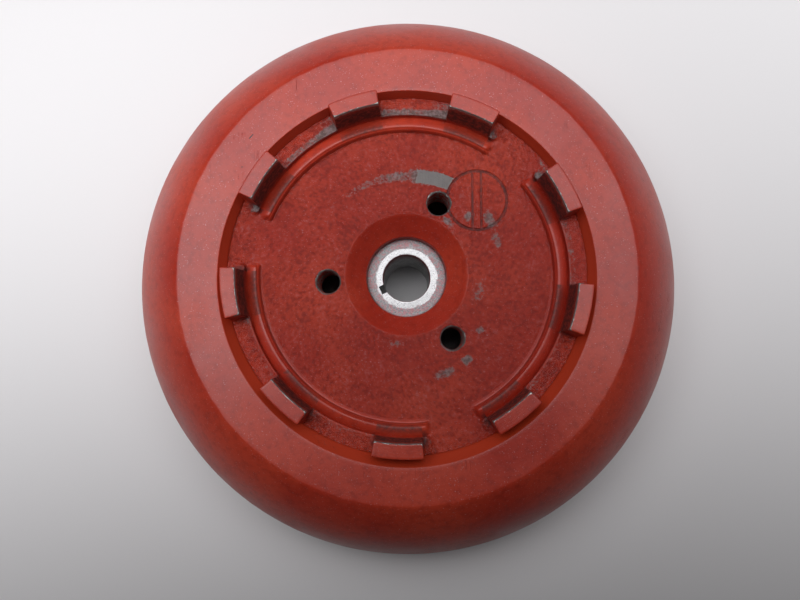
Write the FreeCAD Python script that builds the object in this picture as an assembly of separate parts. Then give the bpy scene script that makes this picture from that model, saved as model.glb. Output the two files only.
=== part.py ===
"""Claw flywheel: a heavy bun-shaped rim, a cast claw disc pressed into it, and a keyed steel bush.

Frame: millimetres, +Z up along the wheel's axis, with the claws on top.
The origin is on the axis, in the plane of the flat back that the wheel lies on.
"""
import FreeCAD, Part
import math
import os

from FreeCAD import Vector

# ---- Driving dimensions ----

# Rim
RIM_RADIUS = 130.0            # largest radius of the bun
FACE_Z = 74.0                 # flat turned face at the front
FACE_OUTER_RADIUS = 99.3      # crease between the face and the rounded flank
CREASE_ROUND = 0.8
BELLY_RADIUS = 30.0           # round belly and back corner; its centre is as high as its radius
SHOULDER_ANGLE = 68.0         # where the belly meets the flatter shoulder, degrees from upright
FOOT_INNER_RADIUS = 90.0      # flat back that the wheel rests on
SEAT_LIP_RADIUS = 74.0        # lip at the back that the claw disc is pressed against
SEAT_LIP_THICKNESS = 6.0
MOUTH_RADIUS = 82.0           # chamfered mouth of the rim's bore
MOUTH_CHAMFER_RADIUS = 80.2
MOUTH_CHAMFER_DEPTH = 1.3
EDGE_ROUND = 0.5

# Claw disc
DISC_RADIUS = 79.0            # press fit in the rim
FLOOR_Z = FACE_Z - 10.0       # sand-cast floor of the dish
WEB_THICKNESS = 18.0
LEDGE_Z = FACE_Z - 6.0        # shallow ledges between neighbouring claws
LEDGE_INNER_RADIUS = 71.5
CLAW_TOP_Z = FACE_Z + 7.5
CLAW_COUNT = 9
CLAW_SPAN = 16.0              # degrees
CLAW_PHASE = 27.3             # middle of the first claw, degrees from +X
CLAW_INNER_RADIUS = 72.2
CLAW_OUTER_RADIUS = 78.7
CLAW_EDGE = 0.4
GAP_COUNT = 3                 # places where the floor runs out to the rim
GAP_FLOOR_HALF_ANGLE = 8.2    # degrees, at the floor
GAP_LEDGE_HALF_ANGLE = 10.2   # degrees, at the ledge: the block ends lean back
RIB_FOOT_RADIUS = 64.6
RIB_SHOULDER_RADIUS = 65.5
RIB_CREST_RADIUS = 66.4
RIB_CREST_Z = LEDGE_Z - 0.3
GROOVE_EDGE_RADIUS = 67.3
GROOVE_EDGE_Z = LEDGE_Z - 0.9
GROOVE_MIDDLE_RADIUS = 69.6
GROOVE_BOTTOM_Z = LEDGE_Z - 2.5
GROOVE_WALL_RISE = 0.5        # how far the groove has risen again where it meets the ledge's wall
BOSS_RADIUS = 27.5
BOSS_END_Z = 8.0
BOSS_FILLET = 6.0

# Funnel over the bush
FUNNEL_RADIUS = 27.0
FUNNEL_END_RADIUS = 18.9
FUNNEL_END_Z = FLOOR_Z - 9.0

# Bush
BUSH_RADIUS = 18.5            # press fit in the claw disc
BUSH_TOP_Z = FLOOR_Z - 15.0
BUSH_BOTTOM_Z = 6.0
BORE_RADIUS = 11.0
BORE_CHAMFER = 0.3
BUSH_EDGE = 0.3
KEYWAY_WIDTH = 4.0
KEYWAY_DEPTH = 2.5
KEYWAY_ANGLE = 206.0          # degrees from +X

# Puller holes: tapping size for M12, left plain
PULLER_COUNT = 3
PULLER_CIRCLE_RADIUS = 35.0
PULLER_PHASE = 65.5           # degrees from +X
PULLER_HOLE_RADIUS = 5.1
PULLER_CHAMFER = 0.5

# Plain round mark cast in the floor
MARK_CIRCLE_RADIUS = 46.0     # distance of its centre from the axis
MARK_ANGLE = 46.5
MARK_RADIUS = 13.4
MARK_LINE_WIDTH = 0.8
MARK_DEPTH = 0.7
MARK_BAR_WIDTH = 3.9

CUT_CLEARANCE = 5.0           # how far a cutter runs past the faces it opens


# ---- Helpers ----

def at(radius, z):
    """A point of a turned profile, in the XZ plane."""
    return Vector(radius, 0, z)


def polar(radius, angle, z=0.0):
    """A point at a radius and an angle in degrees from +X."""
    turn = math.radians(angle)
    return Vector(radius * math.cos(turn), radius * math.sin(turn), z)


def line(start, end):
    return Part.LineSegment(start, end).toShape()


def arc(start, middle, end):
    return Part.Arc(start, middle, end).toShape()


def polyline(points):
    """The straight edges that join a list of points."""
    return [line(start, end) for start, end in zip(points, points[1:])]


def turned(edges, angle=360.0, start=0.0):
    """The solid that a closed profile sweeps about the axis."""
    face = Part.Face(Part.Wire(edges))
    face.rotate(Vector(), Vector(0, 0, 1), start)
    return face.revolve(Vector(), Vector(0, 0, 1), angle)


def edges_on_ring(shape, radius, z):
    """The circular edges of a shape that lie at a radius and a height."""
    found = []
    for edge in shape.Edges:
        curve = edge.Curve
        if isinstance(curve, Part.Circle) and abs(curve.Radius - radius) < 0.01:
            if abs(curve.Center.z - z) < 0.01:
                found.append(edge)
    return found


def annular_sector(inner, outer, half_angle, middle_angle, z):
    """A closed wire round a sector of a ring at one height."""
    low = middle_angle - half_angle
    high = middle_angle + half_angle
    return Part.Wire([
        line(polar(inner, low, z), polar(outer, low, z)),
        arc(polar(outer, low, z), polar(outer, middle_angle, z), polar(outer, high, z)),
        line(polar(outer, high, z), polar(inner, high, z)),
        arc(polar(inner, high, z), polar(inner, middle_angle, z), polar(inner, low, z)),
    ])


def arc_middle(centre, start, end):
    """The point halfway along the shorter arc between two points about a centre."""
    direction = (start - centre).normalize() + (end - centre).normalize()
    return centre + direction.normalize() * (start - centre).Length


# ---- Rim ----

def make_rim():
    """Bun-shaped ring: flat face, round flank, flat back and a bore with a seat for the disc."""
    belly_centre = at(RIM_RADIUS - BELLY_RADIUS, BELLY_RADIUS)
    crease = at(FACE_OUTER_RADIUS, FACE_Z)
    foot_outer = at(RIM_RADIUS - BELLY_RADIUS, 0)

    # The shoulder's arc touches the belly's arc at SHOULDER_ANGLE and runs through the crease.
    tilt = math.radians(SHOULDER_ANGLE)
    outwards = at(math.sin(tilt), math.cos(tilt))
    to_crease = crease - belly_centre
    reach = to_crease.dot(to_crease) - BELLY_RADIUS ** 2
    offset = reach / (2 * (BELLY_RADIUS - to_crease.dot(outwards)))
    shoulder_centre = belly_centre - outwards * offset
    tangent_point = belly_centre + outwards * BELLY_RADIUS
    shoulder_middle = arc_middle(shoulder_centre, crease, tangent_point)
    belly_middle = arc_middle(belly_centre, tangent_point, foot_outer)

    disc_back_z = FLOOR_Z - WEB_THICKNESS
    inside = [
        foot_outer,
        at(FOOT_INNER_RADIUS, 0),
        at(SEAT_LIP_RADIUS, disc_back_z - SEAT_LIP_THICKNESS),
        at(SEAT_LIP_RADIUS, disc_back_z),
        at(DISC_RADIUS, disc_back_z),
        at(DISC_RADIUS, LEDGE_Z),
        at(MOUTH_CHAMFER_RADIUS, FACE_Z - MOUTH_CHAMFER_DEPTH),
        at(MOUTH_RADIUS, FACE_Z),
        crease,
    ]
    edges = polyline(inside)
    edges.append(arc(crease, shoulder_middle, tangent_point))
    edges.append(arc(tangent_point, belly_middle, foot_outer))
    rim = turned(edges)
    rim = rim.makeFillet(CREASE_ROUND, edges_on_ring(rim, FACE_OUTER_RADIUS, FACE_Z))
    soft = edges_on_ring(rim, MOUTH_RADIUS, FACE_Z)
    soft += edges_on_ring(rim, FOOT_INNER_RADIUS, 0)
    return rim.makeFillet(EDGE_ROUND, soft)


# ---- Claw disc ----

def make_disc_blank():
    """Web, hub boss and the funnel that leads down to the bush."""
    back_z = FLOOR_Z - WEB_THICKNESS
    profile = polyline([
        at(BUSH_RADIUS, BOSS_END_Z),
        at(BOSS_RADIUS, BOSS_END_Z),
        at(BOSS_RADIUS, back_z),
        at(DISC_RADIUS, back_z),
        at(DISC_RADIUS, FLOOR_Z),
        at(FUNNEL_RADIUS, FLOOR_Z),
        at(FUNNEL_END_RADIUS, FUNNEL_END_Z),
        at(BUSH_RADIUS, FUNNEL_END_Z - (FUNNEL_END_RADIUS - BUSH_RADIUS)),
        at(BUSH_RADIUS, BOSS_END_Z),
    ])
    blank = turned(profile)
    root = edges_on_ring(blank, BOSS_RADIUS, back_z)
    return blank.makeFillet(BOSS_FILLET, root)


def make_raised_ring():
    """Ledge, turned groove and rounded rib, standing on the floor."""
    foot = at(RIB_FOOT_RADIUS, FLOOR_Z)
    shoulder = at(RIB_SHOULDER_RADIUS, GROOVE_EDGE_Z)
    crest = at(RIB_CREST_RADIUS, RIB_CREST_Z)
    groove_edge = at(GROOVE_EDGE_RADIUS, GROOVE_EDGE_Z)
    groove_middle = at(GROOVE_MIDDLE_RADIUS, GROOVE_BOTTOM_Z)
    groove_wall = at(LEDGE_INNER_RADIUS, GROOVE_BOTTOM_Z + GROOVE_WALL_RISE)
    rest = [
        groove_wall,
        at(LEDGE_INNER_RADIUS, LEDGE_Z),
        at(DISC_RADIUS, LEDGE_Z),
        at(DISC_RADIUS, FLOOR_Z),
        foot,
        shoulder,
    ]
    edges = polyline(rest)
    edges.append(arc(shoulder, crest, groove_edge))
    edges.append(arc(groove_edge, groove_middle, groove_wall))
    return turned(edges)


def make_gap_cutter(middle_angle):
    """Opens the raised ring down to the floor, with block ends that lean back."""
    inner = RIB_FOOT_RADIUS - CUT_CLEARANCE
    outer = DISC_RADIUS + CUT_CLEARANCE
    lean = (GAP_LEDGE_HALF_ANGLE - GAP_FLOOR_HALF_ANGLE) / (LEDGE_Z - FLOOR_Z)
    top_z = LEDGE_Z + 0.5
    top_half_angle = GAP_FLOOR_HALF_ANGLE + lean * (top_z - FLOOR_Z)
    bottom = annular_sector(inner, outer, GAP_FLOOR_HALF_ANGLE, middle_angle, FLOOR_Z)
    top = annular_sector(inner, outer, top_half_angle, middle_angle, top_z)
    return Part.makeLoft([bottom, top], True, True)


def make_claw(middle_angle):
    """One upright claw with broken edges round its flat top."""
    profile = polyline([
        at(CLAW_INNER_RADIUS, FLOOR_Z),
        at(CLAW_INNER_RADIUS, CLAW_TOP_Z),
        at(CLAW_OUTER_RADIUS, CLAW_TOP_Z),
        at(CLAW_OUTER_RADIUS, FLOOR_Z),
        at(CLAW_INNER_RADIUS, FLOOR_Z),
    ])
    claw = turned(profile, CLAW_SPAN, middle_angle - CLAW_SPAN / 2)
    top_edges = [edge for edge in claw.Edges if edge.BoundBox.ZMin > CLAW_TOP_Z - 0.01]
    return claw.makeChamfer(CLAW_EDGE, top_edges)


def make_puller_hole(angle):
    """A plain hole through the web with a countersunk mouth."""
    depth = WEB_THICKNESS + 2 * CUT_CLEARANCE
    start_z = FLOOR_Z - WEB_THICKNESS - CUT_CLEARANCE
    hole = Part.makeCylinder(PULLER_HOLE_RADIUS, depth, polar(PULLER_CIRCLE_RADIUS, angle, start_z))
    mouth = Part.makeCone(
        PULLER_HOLE_RADIUS, PULLER_HOLE_RADIUS + PULLER_CHAMFER, PULLER_CHAMFER,
        polar(PULLER_CIRCLE_RADIUS, angle, FLOOR_Z - PULLER_CHAMFER))
    return hole.fuse(mouth)


def make_mark_cutter():
    """A fine ring and two parallel lines, sunk in the floor."""
    base = FLOOR_Z - MARK_DEPTH
    height = MARK_DEPTH + CUT_CLEARANCE
    centre = polar(MARK_CIRCLE_RADIUS, MARK_ANGLE, base)
    outer = Part.makeCylinder(MARK_RADIUS + MARK_LINE_WIDTH / 2, height, centre)
    inner = Part.makeCylinder(MARK_RADIUS - MARK_LINE_WIDTH / 2, height, centre)
    ring = outer.cut(inner)
    bar_length = 2 * math.sqrt(MARK_RADIUS ** 2 - (MARK_BAR_WIDTH / 2) ** 2)
    lines = []
    for side in (-1, 1):
        middle = centre + Vector(side * MARK_BAR_WIDTH / 2, 0, 0)
        corner = middle - Vector(MARK_LINE_WIDTH / 2, bar_length / 2, 0)
        lines.append(Part.makeBox(MARK_LINE_WIDTH, bar_length, height, corner))
    return ring.multiFuse(lines)


def make_claw_disc():
    pitch = 360.0 / CLAW_COUNT
    gap_pitch = 360.0 / GAP_COUNT
    ring = make_raised_ring()
    cutters = [make_gap_cutter(CLAW_PHASE + pitch / 2 + gap_pitch * k) for k in range(GAP_COUNT)]
    ring = ring.cut(cutters)
    claws = [make_claw(CLAW_PHASE + pitch * k) for k in range(CLAW_COUNT)]
    disc = make_disc_blank().multiFuse([ring] + claws)
    puller_pitch = 360.0 / PULLER_COUNT
    tools = [make_puller_hole(PULLER_PHASE + puller_pitch * k) for k in range(PULLER_COUNT)]
    tools.append(make_mark_cutter())
    return disc.cut(tools).removeSplitter()


# ---- Bush ----

def make_hub_bush():
    """Plain steel bush with a bore and one keyway."""
    profile = polyline([
        at(BORE_RADIUS, BUSH_BOTTOM_Z + BORE_CHAMFER),
        at(BORE_RADIUS + BORE_CHAMFER, BUSH_BOTTOM_Z),
        at(BUSH_RADIUS - BUSH_EDGE, BUSH_BOTTOM_Z),
        at(BUSH_RADIUS, BUSH_BOTTOM_Z + BUSH_EDGE),
        at(BUSH_RADIUS, BUSH_TOP_Z - BUSH_EDGE),
        at(BUSH_RADIUS - BUSH_EDGE, BUSH_TOP_Z),
        at(BORE_RADIUS + BORE_CHAMFER, BUSH_TOP_Z),
        at(BORE_RADIUS, BUSH_TOP_Z - BORE_CHAMFER),
        at(BORE_RADIUS, BUSH_BOTTOM_Z + BORE_CHAMFER),
    ])
    bush = turned(profile)
    keyway = Part.makeBox(
        BORE_RADIUS + KEYWAY_DEPTH, KEYWAY_WIDTH, BUSH_TOP_Z - BUSH_BOTTOM_Z + 2 * CUT_CLEARANCE,
        Vector(0, -KEYWAY_WIDTH / 2, BUSH_BOTTOM_Z - CUT_CLEARANCE))
    keyway.rotate(Vector(), Vector(0, 0, 1), KEYWAY_ANGLE)
    return bush.cut(keyway)


# ---- Export ----

PARTS = {
    "rim": make_rim,
    "claw_disc": make_claw_disc,
    "hub_bush": make_hub_bush,
}


def main():
    os.makedirs("parts", exist_ok=True)
    for node, make in PARTS.items():
        shape = make()
        solids = shape.Solids
        if len(solids) != 1 or not solids[0].isValid():
            raise RuntimeError(f"{node}: {len(solids)} solids, or an invalid one")
        solids[0].exportStep(f"parts/{node}.step")
        print(f"{node}: {solids[0].Volume / 1000:.1f} cm3")


main()
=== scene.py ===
"""Looks of the claw flywheel: a turned and enamelled rim, a sand-cast claw disc and a bare steel bush.

The three pieces are rebuilt as fine meshes on the sections of their CAD nodes, so that the casting
grain, broken edges, rounded block ends, threads and turned rings are real surfaces. The off-centre
mouth and rib, the groove's shape and the climb of the gaps' floor are in these meshes only. Lengths are
in millimetres and angles in degrees from +X until a mesh is made, and the scene itself is in metres.
"""

import math
import random

import bmesh
import bpy
from mathutils import Matrix, Vector, noise


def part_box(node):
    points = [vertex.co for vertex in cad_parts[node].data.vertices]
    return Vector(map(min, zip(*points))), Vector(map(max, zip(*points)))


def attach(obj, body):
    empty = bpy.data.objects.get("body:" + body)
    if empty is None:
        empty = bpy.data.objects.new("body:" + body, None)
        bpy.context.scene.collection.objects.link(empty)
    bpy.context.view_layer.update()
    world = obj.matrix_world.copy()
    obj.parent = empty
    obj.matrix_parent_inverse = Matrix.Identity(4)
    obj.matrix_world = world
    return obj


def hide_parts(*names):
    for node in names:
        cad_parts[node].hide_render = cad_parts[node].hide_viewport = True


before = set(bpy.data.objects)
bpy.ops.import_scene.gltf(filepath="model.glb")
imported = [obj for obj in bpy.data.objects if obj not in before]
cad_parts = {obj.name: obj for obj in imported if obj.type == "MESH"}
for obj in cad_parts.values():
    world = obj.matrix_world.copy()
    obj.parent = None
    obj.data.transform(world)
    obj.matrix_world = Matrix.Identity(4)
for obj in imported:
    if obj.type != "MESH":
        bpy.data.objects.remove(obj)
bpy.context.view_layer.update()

MM = 0.001
RIM_LOW, RIM_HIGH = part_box("rim")
DISC_LOW, DISC_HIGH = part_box("claw_disc")
BUSH_LOW, BUSH_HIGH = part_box("hub_bush")

# ---- Sizes: as in the CAD model, unless a comment says otherwise ----

RIM_RADIUS = (RIM_HIGH[0] - RIM_LOW[0]) / 2 / MM
FACE_Z = RIM_HIGH[2] / MM
FACE_OUTER_RADIUS = 99.3
BELLY_RADIUS = 30.0
SHOULDER_ANGLE = 68.0
FOOT_INNER_RADIUS = 90.0
SEAT_LIP_RADIUS = 74.0
SEAT_LIP_THICKNESS = 6.0
MOUTH_RADIUS = 81.6           # a plain taper, where CAD has a chamfer out to 82
MOUTH_OFFSET = 1.45           # how far the mouth is off centre, towards -Y; none in CAD

DISC_RADIUS = 79.0
CLAW_TOP_Z = DISC_HIGH[2] / MM
BOSS_END_Z = DISC_LOW[2] / MM
FLOOR_Z = FACE_Z - 10.0
LEDGE_Z = FACE_Z - 6.0
WEB_BACK_Z = FLOOR_Z - 18.0
LEDGE_INNER_RADIUS = 71.5
CLAW_COUNT = 9
CLAW_PHASE = 27.3
CLAW_HALF_SPAN = 8.0
CLAW_INNER_RADIUS = 72.2
CLAW_OUTER_RADIUS = 78.7
CLAW_EDGE = 0.45
GAP_EVERY = 3                 # one space between claws in three is a deep gap
GAP_RAMP_RADIUS = 68.0        # from here outwards a gap's floor climbs to the rim; flat in CAD
GAP_RIM_Z = LEDGE_Z - 0.5
RIB_FOOT_RADIUS = 65.0        # 64.6 in CAD
RIB_OFFSET = 0.4              # how far the rib is off centre, towards -Y; none in CAD
BOSS_RADIUS = 27.5
BOSS_FILLET = 6.0
FUNNEL_RADIUS = 27.0
FUNNEL_END_RADIUS = 18.9
FUNNEL_END_Z = FLOOR_Z - 9.0

BUSH_RADIUS = 18.5
BUSH_TOP_Z = BUSH_HIGH[2] / MM
BUSH_BOTTOM_Z = BUSH_LOW[2] / MM
BORE_RADIUS = 11.0
WASHER_RADIUS = 14.3          # ring on the bush's face that the nut's washer has rubbed
KEYWAY_WIDTH = 4.0
KEYWAY_DEPTH = 2.5
KEYWAY_ANGLE = 206.0

PULLER_ANGLES = (65.5, 185.5, 305.5)
PULLER_CIRCLE_RADIUS = 35.0
PULLER_HOLE_RADIUS = 5.1
PULLER_CHAMFER = 0.5
THREAD_PITCH = 1.75
THREAD_DEPTH = 0.55

MARK_CIRCLE_RADIUS = 46.0
MARK_ANGLE = 46.5
MARK_RADIUS = 13.4
MARK_BAR_WIDTH = 3.9
MARK_GROOVE_RADIUS = 0.75     # round section of the mark's lines

GRAIN_HEIGHT = 0.26           # of the casting's sand grain
PITCH = 360.0 / CLAW_COUNT


# ---- Small helpers ----

def spread(low, high, steps):
    """Evenly spaced values from low to high, both included."""
    return [low + (high - low) * k / steps for k in range(steps + 1)]


def blend(low, high, share):
    return low + (high - low) * share


def ease(share):
    share = min(max(share, 0.0), 1.0)
    return share * share * (3 - 2 * share)


def point(radius, angle, z):
    """A point in metres from a radius and height in millimetres and an angle in degrees."""
    turn = math.radians(angle)
    return Vector((radius * math.cos(turn), radius * math.sin(turn), z)) * MM


def segment(start, end, steps):
    """Points from start up to, but not including, end."""
    return [(blend(start[0], end[0], k / steps), blend(start[1], end[1], k / steps)) for k in range(steps)]


def arc_points(centre, radius, start, end, steps):
    """Points on an arc, with its angles in degrees from the outward direction, both ends included."""
    points = []
    for angle in spread(start, end, steps):
        turn = math.radians(angle)
        points.append((centre[0] + radius * math.cos(turn), centre[1] + radius * math.sin(turn)))
    return points


def angle_off(angle, middle):
    """Signed difference of two directions, in degrees within half a turn."""
    return (angle - middle + 180.0) % 360.0 - 180.0


def soft_noise(x, y, size, seed):
    """Smooth noise from about -1 to 1 whose bumps are about size across."""
    return noise.noise(Vector((x / size, y / size, seed)))


def link(thing):
    bpy.context.scene.collection.objects.link(thing)
    return thing


def mesh_from_columns(name, columns):
    """A closed mesh from equally long columns of points that run once round the axis."""
    rows = len(columns[0])
    vertices = [vertex for column in columns for vertex in column]
    faces = []
    for i in range(len(columns)):
        here = i * rows
        there = (i + 1) % len(columns) * rows
        for k in range(rows):
            above = (k + 1) % rows
            faces.append((here + k, there + k, there + above, here + above))
    mesh = bpy.data.meshes.new(name)
    mesh.from_pydata(vertices, [], faces)
    shape = bmesh.new()
    shape.from_mesh(mesh)
    if shape.calc_volume(signed=True) < 0:
        bmesh.ops.reverse_faces(shape, faces=shape.faces)
    shape.to_mesh(mesh)
    shape.free()
    return link(bpy.data.objects.new(name, mesh))


def lathe(name, section, column_count, shift=None):
    """Turn a closed section about the axis. shift moves each point by a change in radius and height."""
    columns = []
    for k in range(column_count):
        angle = 360.0 * k / column_count
        column = []
        for radius, z in section:
            if shift:
                more_radius, more_z = shift(radius, angle, z)
                column.append(point(radius + more_radius, angle, z + more_z))
            else:
                column.append(point(radius, angle, z))
        columns.append(column)
    return mesh_from_columns(name, columns)


def cut(piece, cutters):
    """Take the cutters away from a piece and delete them."""
    for cutter in cutters:
        modifier = piece.modifiers.new("cut", "BOOLEAN")
        modifier.operation = "DIFFERENCE"
        modifier.solver = "EXACT"
        modifier.object = cutter
    bpy.context.view_layer.update()
    evaluated = piece.evaluated_get(bpy.context.evaluated_depsgraph_get())
    result = bpy.data.meshes.new_from_object(evaluated)
    piece.modifiers.clear()
    piece.data = result
    for cutter in cutters:
        bpy.data.objects.remove(cutter)


def smooth(piece, sharp_angle):
    piece.data.shade_smooth()
    piece.data.set_sharp_from_angle(angle=math.radians(sharp_angle))


def paint_masks(piece, masks):
    """Store functions of radius, angle and height as named values on the mesh's points."""
    mesh = piece.data
    values = {name: [] for name in masks}
    for vertex in mesh.vertices:
        x, y, z = vertex.co / MM
        radius = math.hypot(x, y)
        angle = math.degrees(math.atan2(y, x))
        for name, mask in masks.items():
            values[name].append(mask(radius, angle, z))
    for name, numbers in values.items():
        attribute = mesh.attributes.new(name, "FLOAT", "POINT")
        attribute.data.foreach_set("value", numbers)


# ---- Rim ----

def rim_section():
    """Closed section of the rim, from the mouth out over the face and flank to the back and the bore."""
    belly_centre = Vector((RIM_RADIUS - BELLY_RADIUS, BELLY_RADIUS))
    crease = Vector((FACE_OUTER_RADIUS, FACE_Z))
    tilt = math.radians(SHOULDER_ANGLE)
    outwards = Vector((math.sin(tilt), math.cos(tilt)))
    to_crease = crease - belly_centre
    reach = to_crease.length_squared - BELLY_RADIUS ** 2
    offset = reach / (2 * (BELLY_RADIUS - to_crease.dot(outwards)))
    shoulder_centre = belly_centre - outwards * offset
    shoulder_radius = offset + BELLY_RADIUS
    from_centre = crease - shoulder_centre
    crease_angle = math.degrees(math.atan2(from_centre.y, from_centre.x))
    tangent_angle = 90.0 - SHOULDER_ANGLE

    section = segment((MOUTH_RADIUS + 0.35, FACE_Z), (FACE_OUTER_RADIUS - 0.6, FACE_Z), 12)
    section += [(FACE_OUTER_RADIUS - 0.6, FACE_Z), (FACE_OUTER_RADIUS - 0.25, FACE_Z - 0.03)]
    section += arc_points(shoulder_centre, shoulder_radius, crease_angle - 0.15, tangent_angle, 18)
    section += arc_points(belly_centre, BELLY_RADIUS, tangent_angle - 4.0, -90.0, 24)
    back_z = WEB_BACK_Z - SEAT_LIP_THICKNESS
    section += segment((RIM_RADIUS - BELLY_RADIUS - 2.0, 0.0), (FOOT_INNER_RADIUS + 0.4, 0.0), 4)
    section += [(FOOT_INNER_RADIUS + 0.4, 0.0), (FOOT_INNER_RADIUS, 0.12)]
    section += segment((FOOT_INNER_RADIUS - 0.2, 0.6), (SEAT_LIP_RADIUS + 0.1, back_z - 0.3), 12)
    section += [(SEAT_LIP_RADIUS, back_z + 0.3), (SEAT_LIP_RADIUS, WEB_BACK_Z - 0.5)]
    section += [(SEAT_LIP_RADIUS + 0.5, WEB_BACK_Z)]
    section += [(DISC_RADIUS, WEB_BACK_Z), (DISC_RADIUS, WEB_BACK_Z + 8.0)]
    section += segment((DISC_RADIUS, FLOOR_Z - 1.0), (DISC_RADIUS, LEDGE_Z), 4)
    section += segment((DISC_RADIUS + 0.1, LEDGE_Z + 0.4), (MOUTH_RADIUS - 0.2, FACE_Z - 0.6), 6)
    section += [(MOUTH_RADIUS - 0.2, FACE_Z - 0.6), (MOUTH_RADIUS - 0.07, FACE_Z - 0.24)]
    section += [(MOUTH_RADIUS + 0.12, FACE_Z - 0.06)]
    return section


def rim_shift(radius, angle, z):
    """The off-centre mouth and slow waviness of the painted skin, none on the fits and the flat foot."""
    if radius < FACE_OUTER_RADIUS - 1.0 and z > LEDGE_Z:
        up_wall = (z - LEDGE_Z) / (FACE_Z - LEDGE_Z)
        across_face = 1.0 - max(0.0, radius - MOUTH_RADIUS) / (FACE_OUTER_RADIUS - MOUTH_RADIUS)
        return -MOUTH_OFFSET * math.sin(math.radians(angle)) * min(up_wall, across_face), -0.01
    if radius < SEAT_LIP_RADIUS + 8.0 or z < 1.0:
        return 0.0, 0.0
    x = radius * math.cos(math.radians(angle))
    y = radius * math.sin(math.radians(angle))
    wave = noise.noise(Vector((x, y, z)) / 14.0) * 0.05 + noise.noise(Vector((x, y, z)) / 5.0) * 0.03
    if z > FACE_Z - 0.1:
        return 0.3 * soft_noise(x, y, 6.0, 11.0), -0.01
    return min(wave, 0.04) - 0.07, 0.0


# ---- Claw disc ----

def sand_grain(x, y):
    """Height of the sand-cast skin, with a few blowholes, about -1 to 1."""
    coarse = soft_noise(x, y, 1.45, 7.3)
    fine = soft_noise(x, y, 0.85, 3.1)
    slow = soft_noise(x, y, 8.0, 5.7)
    return 1.15 * coarse + 0.8 * fine + 0.45 * slow


def make_blowholes():
    """Middles and sizes of the pits in the floor."""
    chance = random.Random(5)
    pits = []
    for _ in range(22):
        radius = chance.uniform(30.0, 63.0)
        turn = chance.uniform(0.0, 2 * math.pi)
        pits.append((radius * math.cos(turn), radius * math.sin(turn), chance.uniform(0.35, 0.75)))
    return pits


BLOWHOLES = make_blowholes()


def pit_depth(x, y):
    depth = 0.0
    for pit_x, pit_y, size in BLOWHOLES:
        apart = math.hypot(x - pit_x, y - pit_y) / size
        if apart < 2.0:
            depth += 0.45 * size * math.exp(-apart * apart)
    return depth


def ground_share(radius, angle):
    """How far the floor is ground flat and bright, beside the mark."""
    x = radius * math.cos(math.radians(angle))
    y = radius * math.sin(math.radians(angle))
    mark = point(MARK_CIRCLE_RADIUS, MARK_ANGLE, 0.0) / MM
    outside_mark = math.hypot(x - mark.x, y - mark.y) - MARK_RADIUS - 0.7
    arc = 45.3 + 0.035 * angle_off(angle, 67.0) * -1.0
    across = 3.1 - abs(radius - arc)
    past_end = 45.0 * math.radians(17.0 - angle_off(angle, 67.0)) + 1.2 * soft_noise(x, y, 2.0, 9.0)
    past_mark = 45.0 * math.radians(angle_off(angle, 67.0) + 6.0)
    return ease(min(across, outside_mark, past_end, past_mark) / 0.7 + 0.5)


def between_claws(angle):
    """Degrees from the middle of the nearest space between claws, and whether that is a deep gap."""
    turn = (angle - CLAW_PHASE - PITCH / 2) / PITCH
    nearest = round(turn)
    return (turn - nearest) * PITCH, nearest % GAP_EVERY == 0


GAP_RAMP_HIGH = 10.5          # degrees from a gap's middle where its ends start to fall
GAP_RAMP_LOW = 8.0            # and where they reach the floor


def gap_share(angle):
    """0 on the raised ring, 1 on a gap's floor, and between on the leaning ends."""
    off, deep = between_claws(angle)
    if not deep:
        return 0.0
    return ease((GAP_RAMP_HIGH - abs(off)) / (GAP_RAMP_HIGH - GAP_RAMP_LOW))


# Distance past a claw's end in millimetres, share of the claw's height, and rounding of its corner.
CLAW_END = ((-0.45, 1.0, 0.0), (-0.14, 0.993, 0.06), (0.0, 0.966, 0.2), (0.12, 0.5, 0.22),
            (0.26, 0.13, 0.2), (0.55, 0.035, 0.1), (1.15, 0.0, 0.0))


def disc_columns():
    """Angle, claw share and corner rounding of every column, once round the disc."""
    degrees_per_mm = 1.0 / math.radians(1.0) / 75.5
    first = [(angle, 1.0, 0.0) for angle in spread(0.0, CLAW_HALF_SPAN + CLAW_END[0][0] * degrees_per_mm, 13)]
    first += [(CLAW_HALF_SPAN + past * degrees_per_mm, share, corner) for past, share, corner in CLAW_END[1:]]
    start = CLAW_HALF_SPAN + CLAW_END[-1][0] * degrees_per_mm
    columns = []
    for claw in range(CLAW_COUNT):
        middle = CLAW_PHASE + PITCH * claw
        half_space = PITCH / 2
        if claw % GAP_EVERY == 0:
            ramp = [half_space - off for off in spread(GAP_RAMP_HIGH, GAP_RAMP_LOW, 6)]
            space = ramp + spread(half_space - GAP_RAMP_LOW, half_space, 14)[1:]
        else:
            space = spread(start, half_space, 20)[1:]
        rising = first + [(angle, 0.0, 0.0) for angle in space]
        falling = [(PITCH - angle, share, corner) for angle, share, corner in rising[::-1]]
        for angle, share, corner in rising + falling[1:-1]:
            columns.append((middle + angle, share, corner))
    return columns


def hub_section():
    """Up the boss's bore, out over the funnel and across the floor to the rib's foot."""
    rows = [(BUSH_RADIUS, BOSS_END_Z + 0.4), (BUSH_RADIUS, BUSH_TOP_Z - 1.0)]
    rows += [(BUSH_RADIUS, FUNNEL_END_Z - 0.6), (BUSH_RADIUS + 0.12, FUNNEL_END_Z - 0.25)]
    rows += segment((FUNNEL_END_RADIUS, FUNNEL_END_Z), (FUNNEL_RADIUS - 0.3, FLOOR_Z - 0.36), 9)
    rows += [(FUNNEL_RADIUS - 0.3, FLOOR_Z - 0.36), (FUNNEL_RADIUS, FLOOR_Z - 0.06)]
    rows += segment((FUNNEL_RADIUS + 0.4, FLOOR_Z), (RIB_FOOT_RADIUS - 0.9, FLOOR_Z), 62)
    return rows


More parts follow.
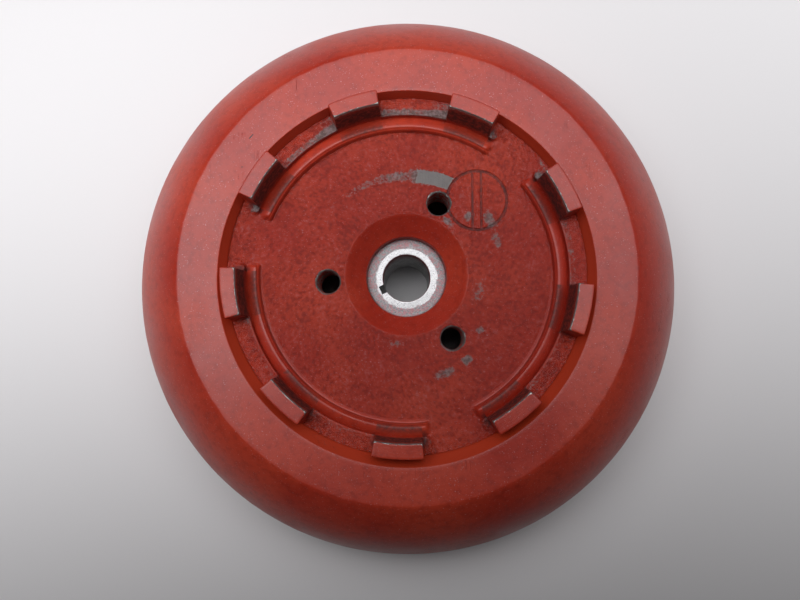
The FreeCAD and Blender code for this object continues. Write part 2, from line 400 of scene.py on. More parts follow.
def ring_section(angle):
    """The rib with its fine turned line, and its back that falls away to the groove at the ledge's wall."""
    rib = [(RIB_FOOT_RADIUS - 0.35, 0.0), (RIB_FOOT_RADIUS, 0.12), (RIB_FOOT_RADIUS + 0.25, 1.6)]
    rib += [(65.45, 2.75), (65.7, 2.95), (65.95, 2.6), (66.2, 2.9), (66.5, 3.3)]
    rib += [(66.95, 3.42), (67.6, 3.3), (68.6, 2.95), (69.7, 2.35), (70.6, 1.7), (71.2, 1.1)]
    rows = []
    for radius, rise in rib:
        share = min(1.0, (LEDGE_INNER_RADIUS - radius) / 3.0)
        rows.append((radius - RIB_OFFSET * math.sin(math.radians(angle)) * share, FLOOR_Z + rise))
    rows.append((LEDGE_INNER_RADIUS - 0.08, FLOOR_Z + 0.9))
    return rows


def block_section(claw_share, corner):
    """Wall, broken edges, top and outer wall of a ledge or a claw."""
    top = blend(LEDGE_Z, CLAW_TOP_Z, claw_share)
    inner = blend(LEDGE_INNER_RADIUS, CLAW_INNER_RADIUS, claw_share) + corner
    outer = blend(DISC_RADIUS, CLAW_OUTER_RADIUS, min(1.0, claw_share * 4)) - corner
    edge = blend(0.3, CLAW_EDGE, claw_share)
    outer_edge = blend(0.05, CLAW_EDGE, claw_share)
    rows = segment((LEDGE_INNER_RADIUS, FLOOR_Z + 1.3), (inner, top - edge), 4)
    rows += [(inner, top - edge), (inner + 0.27 * edge, top - 0.27 * edge)]
    rows += segment((inner + edge, top), (outer - outer_edge, top), 10)
    rows += [(outer - outer_edge, top), (outer - 0.27 * outer_edge, top - 0.27 * outer_edge)]
    rows += [(outer, top - outer_edge), (outer, blend(top - outer_edge, LEDGE_Z - 0.6, 0.5))]
    rows += [(outer, LEDGE_Z - 0.6), (DISC_RADIUS, LEDGE_Z - 1.2)]
    return rows


BLOCK_HIDDEN_ROWS = 5         # last rows of a block's section, below its top's outer edge


def back_section():
    """Down the press fit, in over the back of the web, and down round the hub's boss."""
    rows = [(DISC_RADIUS, FLOOR_Z - 4.0), (DISC_RADIUS, WEB_BACK_Z + 0.5), (DISC_RADIUS - 0.5, WEB_BACK_Z)]
    rows += segment((DISC_RADIUS - 4.5, WEB_BACK_Z), (BOSS_RADIUS + BOSS_FILLET, WEB_BACK_Z), 4)
    centre = (BOSS_RADIUS + BOSS_FILLET, WEB_BACK_Z - BOSS_FILLET)
    rows += arc_points(centre, BOSS_FILLET, 90.0, 180.0, 5)
    rows += segment((BOSS_RADIUS, centre[1] - 3.0), (BOSS_RADIUS, BOSS_END_Z + 0.6), 3)
    rows += [(BOSS_RADIUS, BOSS_END_Z + 0.6), (BOSS_RADIUS - 0.18, BOSS_END_Z + 0.18)]
    rows += [(BOSS_RADIUS - 0.6, BOSS_END_Z), (BUSH_RADIUS + 0.4, BOSS_END_Z)]
    return rows


def gap_floor(radius):
    climb = max(0.0, (radius - GAP_RAMP_RADIUS) / (DISC_RADIUS - GAP_RAMP_RADIUS))
    return blend(FLOOR_Z, GAP_RIM_Z, climb)


def gap_section(row_count):
    """The floor run out and up to the rim: evenly spread rows, the last few turned down the press fit."""
    reach = spread(RIB_FOOT_RADIUS - 0.35, DISC_RADIUS, row_count - BLOCK_HIDDEN_ROWS - 1)
    rows = [(radius, gap_floor(radius)) for radius in reach]
    rows += [(DISC_RADIUS, GAP_RIM_Z - 0.6 * (k + 1)) for k in range(BLOCK_HIDDEN_ROWS)]
    return rows


def is_cast(radius, angle, z):
    """1 on the sand-cast floor, gaps and ledges, 0 on turned and hidden faces."""
    if z < FLOOR_Z - 0.8:
        return 0.0
    floor = ease((radius - FUNNEL_RADIUS - 0.1) / 0.6) * ease((RIB_FOOT_RADIUS - radius) / 0.6)
    off = between_claws(angle)[0]
    gap = gap_share(angle) * ease((radius - RIB_FOOT_RADIUS + 1.0) / 0.6)
    ledge = 0.0
    if abs(z - LEDGE_Z) < 0.9 and abs(off) < PITCH / 2 - CLAW_HALF_SPAN:
        ledge = ease((radius - LEDGE_INNER_RADIUS - 0.3) / 0.5)
    return max(floor, gap, ledge)


def disc_skin(radius, angle, z):
    """How far a point of the disc stands above or below its plain section."""
    cast = is_cast(radius, angle, z)
    if cast == 0.0:
        return 0.0
    x = radius * math.cos(math.radians(angle))
    y = radius * math.sin(math.radians(angle))
    grain = GRAIN_HEIGHT * sand_grain(x, y) - pit_depth(x, y)
    ground = ground_share(radius, angle)
    return cast * blend(grain, -0.1, ground)


def make_disc():
    """The claw disc: column after column of its section, then the holes and the mark cut in."""
    hub = hub_section()
    back = back_section()
    columns = []
    for angle, claw_share, corner in disc_columns():
        ring = ring_section(angle) + block_section(claw_share, corner)
        gap = gap_section(len(ring))
        share = gap_share(angle)
        front = [(blend(a[0], b[0], share), blend(a[1], b[1], share)) for a, b in zip(ring, gap)]
        column = []
        for radius, z in hub + front:
            column.append(point(radius, angle, z + disc_skin(radius, angle, z)))
        column += [point(radius, angle, z) for radius, z in back]
        columns.append(column)
    disc = mesh_from_columns("claw_disc_fine", columns)
    cut(disc, [threaded_cutter(angle) for angle in PULLER_ANGLES] + mark_cutters())
    smooth(disc, 55.0)
    return disc


def threaded_cutter(angle):
    """A tapped hole with its countersunk mouth, as a rod with a helical thread."""
    middle = point(PULLER_CIRCLE_RADIUS, angle, 0.0)
    top = FLOOR_Z + 2.0
    bottom = WEB_BACK_Z - 2.0
    sides = 36
    step = THREAD_PITCH / 5
    heights = spread(bottom, top, round((top - bottom) / step))
    vertices = []
    for z in heights:
        for side in range(sides):
            turn = 2 * math.pi * side / sides
            phase = (z / THREAD_PITCH - side / sides) % 1.0
            radius = PULLER_HOLE_RADIUS + THREAD_DEPTH * max(0.0, 1.0 - abs(phase - 0.5) * 2.6)
            radius = max(radius, PULLER_HOLE_RADIUS + PULLER_CHAMFER + z - FLOOR_Z)
            vertices.append(middle + Vector((radius * math.cos(turn), radius * math.sin(turn), z)) * MM)
    faces = []
    for row in range(len(heights) - 1):
        for side in range(sides):
            beside = (side + 1) % sides
            low = row * sides
            faces.append((low + side, low + beside, low + sides + beside, low + sides + side))
    faces.append(tuple(reversed(range(sides))))
    faces.append(tuple(range(len(vertices) - sides, len(vertices))))
    mesh = bpy.data.meshes.new("thread")
    mesh.from_pydata(vertices, [], faces)
    return link(bpy.data.objects.new("thread", mesh))


def mark_cutters():
    """Round-bottomed lines of the plain mark: a ring and two parallel chords."""
    middle = point(MARK_CIRCLE_RADIUS, MARK_ANGLE, FLOOR_Z + 0.08)
    bpy.ops.mesh.primitive_torus_add(
        major_radius=MARK_RADIUS * MM, minor_radius=MARK_GROOVE_RADIUS * MM,
        major_segments=120, minor_segments=14, location=middle)
    cutters = [bpy.context.object]
    chord = 2 * math.sqrt(MARK_RADIUS ** 2 - (MARK_BAR_WIDTH / 2) ** 2)
    for side in (-1, 1):
        place = middle + Vector((side * MARK_BAR_WIDTH / 2, 0, 0)) * MM
        bpy.ops.mesh.primitive_cylinder_add(
            radius=MARK_GROOVE_RADIUS * 0.9 * MM, depth=chord * MM, vertices=14, location=place,
            rotation=(math.pi / 2, 0, 0))
        cutters.append(bpy.context.object)
    return cutters


# ---- Bush ----

def bush_section():
    """Bore, turned end face with the rubbed ring a little lower, and the press fit."""
    top = BUSH_TOP_Z
    low = BUSH_BOTTOM_Z
    section = [(BORE_RADIUS, low + 0.3), (BORE_RADIUS, blend(low, top, 0.33))]
    section += [(BORE_RADIUS, blend(low, top, 0.66))]
    section += [(BORE_RADIUS, top - 0.45), (BORE_RADIUS + 0.12, top - 0.22), (BORE_RADIUS + 0.3, top - 0.12)]
    section += segment((BORE_RADIUS + 0.6, top - 0.1), (WASHER_RADIUS - 0.1, top - 0.1), 7)
    section += [(WASHER_RADIUS - 0.1, top - 0.1), (WASHER_RADIUS + 0.15, top)]
    section += segment((WASHER_RADIUS + 0.5, top), (BUSH_RADIUS - 0.5, top), 8)
    section += [(BUSH_RADIUS - 0.5, top), (BUSH_RADIUS - 0.15, top - 0.12), (BUSH_RADIUS, top - 0.45)]
    section += [(BUSH_RADIUS, blend(low, top, 0.5)), (BUSH_RADIUS, low + 0.35), (BUSH_RADIUS - 0.3, low)]
    section += [(BORE_RADIUS + 2.0, low), (BORE_RADIUS + 0.3, low)]
    return section


def bush_shift(radius, angle, z):
    """Dents and unevenness of the end face."""
    if z < BUSH_TOP_Z - 0.2 or radius < BORE_RADIUS + 0.4 or radius > BUSH_RADIUS - 0.4:
        return 0.0, 0.0
    x = radius * math.cos(math.radians(angle))
    y = radius * math.sin(math.radians(angle))
    return 0.0, -0.05 * max(0.0, soft_noise(x, y, 2.2, 1.4)) - 0.01 * (1 + math.sin(radius * 9.0))


def make_bush():
    bush = lathe("hub_bush_fine", bush_section(), 256, bush_shift)
    bpy.ops.mesh.primitive_cube_add(size=1.0)
    key = bpy.context.object
    reach = BORE_RADIUS + KEYWAY_DEPTH
    height = BUSH_TOP_Z - BUSH_BOTTOM_Z + 4.0
    turn = Matrix.Rotation(math.radians(KEYWAY_ANGLE), 4, "Z")
    place = Matrix.Translation(Vector((reach / 2, 0, (BUSH_TOP_Z + BUSH_BOTTOM_Z) / 2)) * MM)
    key.matrix_world = turn @ place @ Matrix.Diagonal((reach * MM, KEYWAY_WIDTH * MM, height * MM, 1.0))
    cut(bush, [key])
    smooth(bush, 40.0)
    return bush


# ---- Material helpers ----

class Nodes:
    """Adds nodes to one new material. Each call returns the socket that the next call takes."""

    def __init__(self, name):
        self.material = bpy.data.materials.new(name)
        self.material.use_nodes = True
        self.tree = self.material.node_tree
        self.shader = self.tree.nodes["Principled BSDF"]
        self.place = self.add("ShaderNodeTexCoord", "Object")

    def add(self, kind, output=0, options=None, values=None):
        node = self.tree.nodes.new(kind)
        for name, value in (options or {}).items():
            setattr(node, name, value)
        for name, value in (values or {}).items():
            self.put(node.inputs[name], value)
        return node.outputs[output]

    def put(self, socket, value):
        if isinstance(value, bpy.types.NodeSocket):
            self.tree.links.new(value, socket)
        else:
            socket.default_value = value

    def noise(self, size, detail=2.0, roughness=0.5, distortion=0.0, where=None):
        """Noise whose bumps are about size millimetres across, mostly between 0.3 and 0.7."""
        values = {"Vector": where or self.place, "Scale": 1.0 / (size * MM), "Detail": detail,
                  "Roughness": roughness, "Distortion": distortion}
        return self.add("ShaderNodeTexNoise", 0, None, values)

    def stretched(self, across, along, around):
        """Coordinates squeezed so that noise runs as lines along one direction."""
        values = {"Vector": self.place, "Rotation": (0, 0, math.radians(around)),
                  "Scale": (1 / across, 1 / along, 1)}
        return self.add("ShaderNodeMapping", 0, None, values)

    def math(self, kind, a, b=0.0, clamp=False):
        return self.add("ShaderNodeMath", 0, {"operation": kind, "use_clamp": clamp}, {0: a, 1: b})

    def fit(self, value, low, high, to_low=0.0, to_high=1.0):
        """Smooth step of a value from low..high to another range."""
        values = {"Value": value, "From Min": low, "From Max": high, "To Min": to_low, "To Max": to_high}
        return self.add("ShaderNodeMapRange", 0, {"interpolation_type": "SMOOTHSTEP"}, values)

    def mix(self, share, a, b):
        node = self.tree.nodes.new("ShaderNodeMix")
        node.data_type = "RGBA"
        self.put(node.inputs["Factor"], share)
        self.put(node.inputs[6], a)
        self.put(node.inputs[7], b)
        return node.outputs[2]

    def blend(self, share, a, b):
        node = self.tree.nodes.new("ShaderNodeMix")
        self.put(node.inputs["Factor"], share)
        self.put(node.inputs[2], a)
        self.put(node.inputs[3], b)
        return node.outputs[0]

    def mask(self, name):
        return self.add("ShaderNodeAttribute", "Fac", {"attribute_name": name})

    def radius(self):
        """Distance from the wheel's axis in millimetres."""
        values = {0: self.place, 1: (1000, 1000, 0)}
        flat = self.add("ShaderNodeVectorMath", 0, {"operation": "MULTIPLY"}, values)
        return self.add("ShaderNodeVectorMath", "Value", {"operation": "LENGTH"}, {0: flat})

    def stroke(self, middle, around, half_length, half_width):
        """1 inside a short straight stroke on a face, 0 outside it."""
        values = {"Vector": self.place, "Location": middle, "Rotation": (0, 0, math.radians(around)),
                  "Scale": (half_length * MM, half_width * MM, MM)}
        local = self.add("ShaderNodeMapping", 0, {"vector_type": "TEXTURE"}, values)
        parts = self.tree.nodes.new("ShaderNodeSeparateXYZ")
        self.put(parts.inputs[0], local)
        sides = [self.math("ABSOLUTE", part) for part in parts.outputs]
        furthest = self.math("MAXIMUM", self.math("MAXIMUM", sides[0], sides[1]), sides[2])
        return self.fit(furthest, 0.8, 1.1, 1.0, 0.0)

    def bump(self, height, depth, strength=1.0, normal=None):
        values = {"Height": height, "Distance": depth * MM, "Strength": strength}
        if normal:
            values["Normal"] = normal
        return self.add("ShaderNodeBump", 0, None, values)

    def finish(self, colour, roughness, normal, metallic=0.0):
        self.put(self.shader.inputs["Base Color"], colour)
        self.put(self.shader.inputs["Roughness"], roughness)
        self.put(self.shader.inputs["Normal"], normal)
        self.put(self.shader.inputs["Metallic"], metallic)
        return self.material


def grey(value, warmth=0.0):
    return (value * (1 + warmth), value, value * (1 - warmth), 1.0)


ENAMEL = (0.37, 0.025, 0.011, 1.0)
ENAMEL_LIGHT = (0.46, 0.043, 0.018, 1.0)
ENAMEL_DARK = (0.19, 0.011, 0.006, 1.0)
# Lighter enamel: painted light on the wall of the rim's mouth.
ENAMEL_PAINTED_LIGHT = (0.48, 0.044, 0.014, 1.0)
# Pale pink: dust specks, and the painted sheen on the tops of the sand grain.
DUST_AND_SHEEN = (0.55, 0.30, 0.30, 1.0)
# Near black: chips in the rim's paint, and dirt and painted shade on the claw disc.
SOOT_AND_SHADE = (0.018, 0.016, 0.016, 1.0)
IRON = (0.30, 0.25, 0.25, 1.0)
IRON_BRIGHT = (0.33, 0.315, 0.30, 1.0)


def enamel_colour(nodes):
    """Red-orange enamel with slow changes of depth and fine pale dust specks."""
    slow = nodes.fit(nodes.noise(45.0, 3.0), 0.35, 0.65)
    colour = nodes.mix(slow, ENAMEL, ENAMEL_LIGHT)
    mottle = nodes.fit(nodes.noise(3.0, 4.0, 0.65), 0.42, 0.75, 0.0, 0.45)
    colour = nodes.mix(mottle, colour, ENAMEL_DARK)
    specks = nodes.fit(nodes.noise(0.55, 1.0), 0.68, 0.76, 0.0, 0.5)
    return nodes.mix(specks, colour, DUST_AND_SHEEN)


def scratch_lines(nodes, around, size, sparse):
    """Fine straight scratches in one direction, broken up so that few are left."""
    lines = nodes.noise(size, 1.0, where=nodes.stretched(1.0, 26.0, around))
    thin = nodes.fit(nodes.math("ABSOLUTE", nodes.math("SUBTRACT", lines, 0.5)), 0.0, 0.012, 1.0, 0.0)
    some = nodes.fit(nodes.noise(13.0, 2.0), sparse, sparse + 0.05)
    return nodes.math("MULTIPLY", thin, some)


def make_rim_enamel():
    nodes = Nodes("rim_enamel")
    # Painted light: the wall of the rim's mouth gets the lighter enamel, standing in for light falling on it.
    colour = nodes.mix(nodes.mask("painted_light"), enamel_colour(nodes), ENAMEL_PAINTED_LIGHT)
    scratches = nodes.math(
        "MAXIMUM", scratch_lines(nodes, 32, 1.6, 0.63), scratch_lines(nodes, -57, 1.9, 0.66))
    colour = nodes.mix(nodes.math("MULTIPLY", scratches, 0.7), colour, ENAMEL_DARK)
    chips = nodes.fit(nodes.noise(2.6, 2.0, 0.6), 0.775, 0.79)
    nick = nodes.stroke(point(90.6, 138.7, FACE_Z), 48.7, 1.35, 0.24)
    dark = nodes.math("MAXIMUM", nodes.math("MULTIPLY", chips, 0.85), nick)
    colour = nodes.mix(dark, colour, SOOT_AND_SHADE)
    haze = nodes.noise(22.0, 3.0)
    roughness = nodes.fit(haze, 0.3, 0.7, 0.36, 0.46)
    roughness = nodes.math("ADD", roughness, nodes.math("MULTIPLY", scratches, 0.15))
    peel = nodes.noise(1.3, 2.0, 0.5)
    nibs = nodes.fit(nodes.noise(0.7, 1.0), 0.66, 0.8)
    normal = nodes.bump(peel, 0.035)
    normal = nodes.bump(nibs, 0.03, 1.0, normal)
    normal = nodes.bump(nodes.math("MAXIMUM", scratches, dark), -0.05, 1.0, normal)
    return nodes.finish(colour, roughness, normal)


def make_disc_enamel():
    """Enamel over sand-cast skin and turned faces, with painted shade in the grain's hollows and a painted
    sheen on its tops, worn to bare iron where the masks say.
    """
    nodes = Nodes("disc_enamel")
    cast = nodes.mask("cast")
    relief = nodes.mask("relief")
    colour = enamel_colour(nodes)
    # Painted shade: the grain's hollows are darkened.
    grain_shade = nodes.math("MULTIPLY", cast, nodes.fit(relief, 0.2, -0.8, 0.05, 0.7))
    colour = nodes.mix(grain_shade, colour, ENAMEL_DARK)
    # Painted highlight: the grain's tops are lightened towards a pale pink sheen.
    grain_sheen = nodes.math("MULTIPLY", cast, nodes.fit(relief, 0.25, 1.0, 0.0, 0.12))
    colour = nodes.mix(grain_sheen, colour, DUST_AND_SHEEN)
    # Dirt and painted shade: darker on the claws' inner faces and feet, at the gaps' ends, in the mark's
    # lines and deep in the puller holes.
    patchiness = nodes.fit(nodes.noise(1.6, 4.0, 0.6), 0.3, 0.6, 0.35, 1.0)
    soot_and_shade = nodes.math("MULTIPLY", nodes.mask("soot_and_shade"), patchiness)
    colour = nodes.mix(soot_and_shade, colour, SOOT_AND_SHADE)

    speckle = nodes.math("SUBTRACT", nodes.noise(0.9, 4.0, 0.7), 0.5)
    ragged = nodes.math("ADD", nodes.math("MULTIPLY", relief, 0.22), speckle)
    rubbed = nodes.fit(nodes.math("ADD", nodes.mask("rubbed"), ragged), 0.26, 0.66, 0.0, 0.85)
    chipped = nodes.math("SUBTRACT", nodes.noise(2.2, 3.0, 0.7), 0.5)
    edge = nodes.fit(nodes.math("ADD", nodes.mask("edge"), chipped), 0.55, 0.7)
    very_ragged = nodes.math("MULTIPLY", ragged, 1.3)
    ground = nodes.fit(nodes.math("ADD", nodes.mask("ground"), very_ragged), 0.42, 0.6)
    bare = nodes.math("MAXIMUM", nodes.math("MAXIMUM", rubbed, edge), ground)

    streaks = nodes.noise(0.5, 2.0, where=nodes.stretched(1.0, 14.0, 76))
    iron = nodes.mix(nodes.fit(nodes.noise(1.2, 3.0, 0.6), 0.35, 0.65), grey(0.10, 0.1), IRON)
    bright = nodes.math("MAXIMUM", ground, nodes.math("MULTIPLY", edge, 0.9))
    iron = nodes.mix(bright, iron, IRON_BRIGHT)
    scored = nodes.math("MULTIPLY", ground, nodes.fit(streaks, 0.5, 0.62, 0.0, 0.35))
    iron = nodes.mix(scored, iron, grey(0.25))
    colour = nodes.mix(bare, colour, iron)
    skin = nodes.blend(cast, nodes.fit(nodes.noise(18.0), 0.3, 0.7, 0.36, 0.45), 0.23)
    skin = nodes.blend(soot_and_shade, skin, 0.7)
    bare_roughness = nodes.blend(bright, 0.5, nodes.fit(streaks, 0.3, 0.7, 0.3, 0.42))
    roughness = nodes.blend(bare, skin, bare_roughness)
    metallic = nodes.math("MULTIPLY", bare, nodes.blend(bright, 0.35, 0.8))

    fine = nodes.noise(0.6, 3.0, 0.6)
    turned = nodes.add("ShaderNodeTexWave", "Fac", {"wave_type": "RINGS", "rings_direction": "Z"}, {
        "Vector": nodes.place, "Scale": 290.0, "Distortion": 0.6, "Detail": 2.0, "Detail Scale": 40.0})
    normal = nodes.bump(nodes.math("MULTIPLY", fine, nodes.blend(cast, 0.06, 1.0)), 0.8)
    normal = nodes.bump(nodes.noise(1.3), 0.03, 1.0, normal)
    normal = nodes.bump(nodes.math("MULTIPLY", turned, nodes.math("SUBTRACT", 1.0, cast)), 0.008, 1.0, normal)
    normal = nodes.bump(nodes.math("MULTIPLY", streaks, ground), 0.03, 1.0, normal)
    normal = nodes.bump(bare, -0.06, 1.0, normal)
    return nodes.finish(colour, roughness, normal, metallic)


def make_bush_steel():
    """Turned steel: a bright rubbed ring at the bore, dull pitted steel with overspray outside it."""
    nodes = Nodes("bush_steel")
    radius = nodes.radius()
    ragged = nodes.math("MULTIPLY", nodes.math("SUBTRACT", nodes.noise(2.0, 3.0, 0.6), 0.5), 2.6)
    rubbed = nodes.fit(nodes.math("ADD", radius, ragged), WASHER_RADIUS - 0.3, WASHER_RADIUS + 0.4, 1.0, 0.0)
    grain = nodes.noise(0.6, 4.0, 0.7)
    face = nodes.mask("face")
    spots = nodes.fit(nodes.noise(1.1, 4.0, 0.7), 0.44, 0.6)
    spray = nodes.math("MULTIPLY", spots, nodes.math("SUBTRACT", 1.0, rubbed))
    spray = nodes.math("MULTIPLY", nodes.math("MULTIPLY", spray, 0.8), face)
    chamfer = nodes.fit(radius, BORE_RADIUS + 0.05, BORE_RADIUS + 0.3, 1.0, 0.0)
    mouth = nodes.math("MULTIPLY", chamfer, nodes.mask("mouth"))
    dull = nodes.mix(nodes.fit(grain, 0.35, 0.65), grey(0.14), grey(0.32))
    colour = nodes.mix(rubbed, dull, nodes.mix(nodes.fit(grain, 0.3, 0.6), grey(0.22), grey(0.40, 0.01)))
    bore = nodes.mix(nodes.fit(nodes.noise(3.0, 4.0), 0.35, 0.65), grey(0.22), grey(0.38))
    colour = nodes.mix(face, bore, colour)
    colour = nodes.mix(spray, colour, (0.40, 0.15, 0.16, 1.0))
    colour = nodes.mix(mouth, colour, (0.16, 0.012, 0.012, 1.0))
    metallic = nodes.math("SUBTRACT", 1.0, nodes.math("MAXIMUM", spray, mouth), True)
    dull_roughness = nodes.fit(grain, 0.3, 0.7, 0.4, 0.6)
    roughness = nodes.blend(rubbed, dull_roughness, nodes.fit(grain, 0.3, 0.7, 0.24, 0.4))
    rings = nodes.add("ShaderNodeTexWave", "Fac", {"wave_type": "RINGS", "rings_direction": "Z"}, {
        "Vector": nodes.place, "Scale": 520.0, "Distortion": 1.5, "Detail": 3.0, "Detail Scale": 30.0})
    normal = nodes.bump(rings, 0.02)
    normal = nodes.bump(grain, 0.05, 1.0, normal)
    return nodes.finish(colour, roughness, normal, metallic)


# ---- Masks of wear ----

# Angle, radius, half length in degrees, half width in millimetres, and strength of each rubbed place.
RUBBED_PLACES = (
    (80.0, 44.8, 9.0, 3.6, 0.75),
    (96.0, 44.4, 15.0, 2.6, 0.55),
    (116.0, 44.4, 14.0, 2.0, 0.42),
    (33.0, 44.6, 6.0, 2.6, 0.62),
    (20.7, 43.2, 6.0, 2.2, 0.5),
    (322.5, 40.9, 3.0, 2.0, 0.5),
    (305.0, 46.4, 3.0, 2.0, 0.75),
    (291.0, 47.0, 6.5, 2.2, 0.6),
    (262.0, 31.0, 8.0, 1.6, 0.35),
    (52.0, 30.0, 6.0, 1.6, 0.55),
    (345.0, 33.0, 12.0, 3.0, 0.35),
    (43.0, 38.0, 3.2, 2.6, 0.6),
)


CLAW_MM_PER_DEGREE = 1.32     # along the circle of the claws


def rubbed_mask(radius, angle, z):
    if abs(z - FLOOR_Z) < 1.0 and radius < RIB_FOOT_RADIUS:
        strongest = 0.0
        for middle, ring, half_length, half_width, strength in RUBBED_PLACES:
            along = angle_off(angle, middle) / half_length
            across = (radius - ring) / half_width
            strongest = max(strongest, strength * math.exp(-(along ** 4 + across ** 4)))
        return strongest
    off = between_claws(angle)[0]
    if abs(z - LEDGE_Z) > 1.0 or radius < LEDGE_INNER_RADIUS - 0.2 or radius > DISC_RADIUS - 0.5:
        return 0.0
    inner_half = ease((75.6 - radius) / 2.2)
    north = max(0.0, math.sin(math.radians(angle)))
    clockwise_end = ease((-off - 2.0) / 7.0)
    return inner_half * (0.26 + 0.34 * north) + clockwise_end * (0.1 + 0.36 * north)


def edge_mask(radius, angle, z):
    """Knocked edges: round the claws' tops, at the ledges' inner corners and on the rib's crest."""
    off = between_claws(angle)[0]
    past_claw = PITCH / 2 - CLAW_HALF_SPAN - abs(off)
    if z > CLAW_TOP_Z - 0.9:
        inner = math.exp(-max(0.0, radius - CLAW_INNER_RADIUS - 0.25) / 0.5)
        end = math.exp(-abs(past_claw) * CLAW_MM_PER_DEGREE / 0.5) * ease((CLAW_OUTER_RADIUS - radius) / 4.0)
        return 0.85 * inner + 0.7 * end
    if abs(z - LEDGE_Z) < 0.8 and radius > LEDGE_INNER_RADIUS - 0.1 and past_claw > 0.0:
        rim_edge = math.exp(-(radius - LEDGE_INNER_RADIUS) / 0.4)
        corner = math.exp(-past_claw * 1.3 / 1.6)
        return 0.3 * rim_edge + 0.75 * corner * math.exp(-(radius - LEDGE_INNER_RADIUS) / 1.4)
    if abs(z - FLOOR_Z - 3.7) < 0.4 and 66.0 < radius < 67.0:
        return 0.34
    return 0.0


def soot_and_shade_mask(radius, angle, z):
    """Dirt and painted shade: darkening on the claws' inner faces, at their feet and where a gap's ends lean
    back.
    """
    off, deep = between_claws(angle)
    past_claw = (PITCH / 2 - CLAW_HALF_SPAN - abs(off)) * CLAW_MM_PER_DEGREE
    if radius < RIB_FOOT_RADIUS + 1.0:
        return 0.0
    if past_claw < 0.4 and radius < CLAW_INNER_RADIUS + 0.2:
        return 0.85 * ease((z - FLOOR_Z - 2.0) / 2.0) * ease((CLAW_TOP_Z - 0.4 - z) / 1.0)
    if z > LEDGE_Z + 6.0:
        return 0.0
    foot = math.exp(-(max(0.0, past_claw) / 1.1) ** 2) * ease((radius - 70.5) / 1.5)
    foot *= ease((LEDGE_Z + 5.0 - z) / 4.0)
    if deep:
        foot = max(foot, math.exp(-(max(0.0, past_claw - 1.2) / 1.4) ** 2) * ease((radius - 68.0) / 3.0))
    return 0.75 * foot * ease((77.5 - radius) / 3.0)


def relief_mask(radius, angle, z):
    """Height of the sand grain, -1 to 1."""
    if is_cast(radius, angle, z) == 0.0:
        return 0.0
    x = radius * math.cos(math.radians(angle))
    y = radius * math.sin(math.radians(angle))
    return max(-1.0, min(1.0, sand_grain(x, y)))


def mark_line_shade(radius, angle, z):
    """Painted shade in the lines of the mark."""
    turn = math.radians(angle_off(angle, MARK_ANGLE))
    apart = math.hypot(radius * math.cos(turn) - MARK_CIRCLE_RADIUS, radius * math.sin(turn))
    return 0.7 if apart < MARK_RADIUS + 1.0 and z < FLOOR_Z - 0.38 else 0.0


def hole_share(radius, angle):
    """1 in and right beside a puller hole."""
    nearest = min(abs(angle_off(angle, hole)) for hole in PULLER_ANGLES)
    apart = math.hypot(PULLER_CIRCLE_RADIUS * math.radians(nearest), radius - PULLER_CIRCLE_RADIUS)
    return 1.0 if apart < PULLER_HOLE_RADIUS + PULLER_CHAMFER + 0.15 else 0.0


def bare_edge(radius, angle, z):
    """Knocked edges, and the puller holes' bright mouths and duller walls."""
    wall = 1.0 if z > FLOOR_Z - 0.9 else 0.6
    return max(edge_mask(radius, angle, z), hole_share(radius, angle) * wall)


# Dirt and painted shade of the disc, in one mask.
def dirt_and_shade(radius, angle, z):
    # Painted shade deep in the puller holes.
    deep_hole_shade = 0.35 * hole_share(radius, angle) * (z < FLOOR_Z - 5.0)
    return max(soot_and_shade_mask(radius, angle, z), mark_line_shade(radius, angle, z), deep_hole_shade)


def disc_masks():
    return {
        "cast": lambda radius, angle, z: is_cast(radius, angle, z) * (1.0 - hole_share(radius, angle)),
        "relief": relief_mask,
        "rubbed": rubbed_mask,
        "edge": bare_edge,
        "soot_and_shade": dirt_and_shade,
        "ground": lambda radius, angle, z: ground_share(radius, angle) * (abs(z - FLOOR_Z) < 1.0),
    }


def painted_light_mask(radius, angle, z):
    """Painted light on the wall of the rim's mouth: where the lighter enamel goes, in place of light falling
    on it.
    """
    return 1.0 if LEDGE_Z - 2.0 < z < FACE_Z - 0.1 and radius < MOUTH_RADIUS + 2.0 else 0.0


# ---- Camera, floor and light ----

def add_camera():
    """Close above the wheel and a little to its south, looking almost straight down."""
    position = Vector((1.2, -35.9, FACE_Z + 277.5)) * MM
    target = Vector((-2.7, -12.4, FACE_Z)) * MM
    back = (position - target).normalized()
    right = Vector((0, 1, 0)).cross(back).normalized()
    up = back.cross(right)
    camera = bpy.data.cameras.new("camera")
    camera.sensor_width = 36.0
    camera.lens = 29.25
    camera.clip_start = 0.01
    holder = link(bpy.data.objects.new("camera", camera))
    holder.matrix_world = Matrix.Translation(position) @ Matrix((right, up, back)).transposed().to_4x4()
    bpy.context.scene.camera = holder


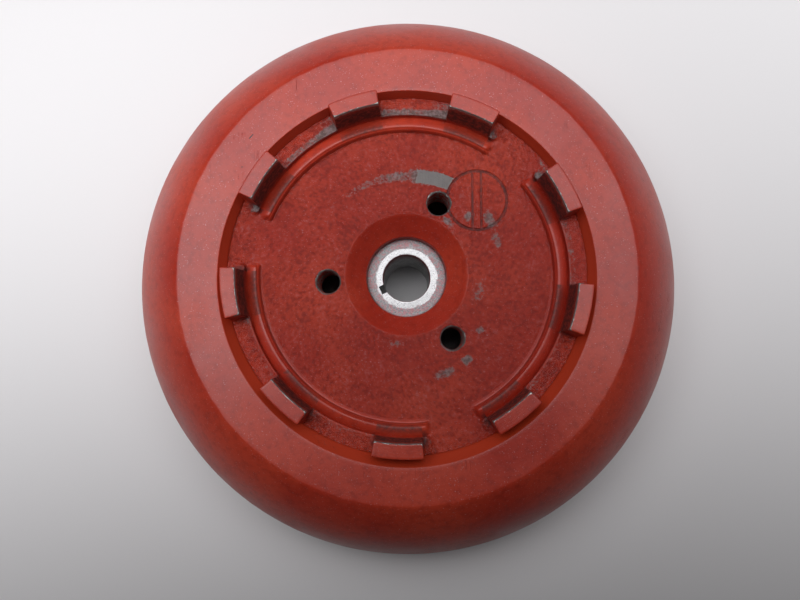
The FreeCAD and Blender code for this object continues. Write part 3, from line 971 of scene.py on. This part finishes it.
def add_floor():
    mesh = bpy.data.meshes.new("floor")
    size = 3.0
    corners = [(-size, -size, 0), (size, -size, 0), (size, size, 0), (-size, size, 0)]
    mesh.from_pydata(corners, [], [(0, 1, 2, 3)])
    floor = link(bpy.data.objects.new("floor", mesh))
    material = bpy.data.materials.new("floor_pale")
    material.use_nodes = True
    shader = material.node_tree.nodes["Principled BSDF"]
    shader.inputs["Base Color"].default_value = (0.72, 0.71, 0.70, 1)
    shader.inputs["Roughness"].default_value = 0.55
    mesh.materials.append(material)


PANEL_HEIGHT = 0.48           # over the table, in metres
PANEL_SPREAD = 95.0


def add_panel(name, west, east, south, north, power):
    """A rectangular lamp over the table that shines straight down within a limited angle."""
    light = bpy.data.lights.new(name, "AREA")
    light.shape = "RECTANGLE"
    light.size = east - west
    light.size_y = north - south
    light.spread = math.radians(PANEL_SPREAD)
    light.energy = power
    light.color = (0.97, 0.965, 1.0)
    holder = link(bpy.data.objects.new(name, light))
    holder.location = ((west + east) / 2, (south + north) / 2, PANEL_HEIGHT)
    holder.visible_camera = False


def add_light():
    """Panels to the north, east and west of the wheel, so that its south side falls into soft shade."""
    world = bpy.data.worlds.new("room")
    world.use_nodes = True
    background = world.node_tree.nodes["Background"]
    background.inputs["Color"].default_value = (0.92, 0.92, 1.0, 1)
    background.inputs["Strength"].default_value = 0.015
    bpy.context.scene.world = world
    add_panel("panel_north", -0.40, 0.20, 0.0, 0.60, 1.33)
    add_panel("panel_east", 0.20, 0.90, -0.06, 0.60, 2.0)
    add_panel("panel_west", -0.80, -0.12, -0.08, 0.20, 1.0)


def add_piece(piece, node, material):
    """Put a fine piece in the place of its CAD node."""
    piece.data.materials.clear()
    piece.data.materials.append(material)
    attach(piece, "root")
    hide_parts(node)


add_camera()
add_floor()
add_light()

rim = lathe("rim_fine", rim_section(), 720, rim_shift)
smooth(rim, 40.0)
paint_masks(rim, {"painted_light": painted_light_mask})
add_piece(rim, "rim", make_rim_enamel())

disc = make_disc()
paint_masks(disc, disc_masks())
add_piece(disc, "claw_disc", make_disc_enamel())

bush = make_bush()
paint_masks(bush, {
    "face": lambda radius, angle, z: 1.0 if z > BUSH_TOP_Z - 0.5 and radius > BORE_RADIUS + 0.02 else 0.0,
    "mouth": lambda radius, angle, z: 1.0 if z > BUSH_TOP_Z - 0.6 else 0.0,
})
add_piece(bush, "hub_bush", make_bush_steel())

bpy.context.scene.view_settings.view_transform = "Standard"
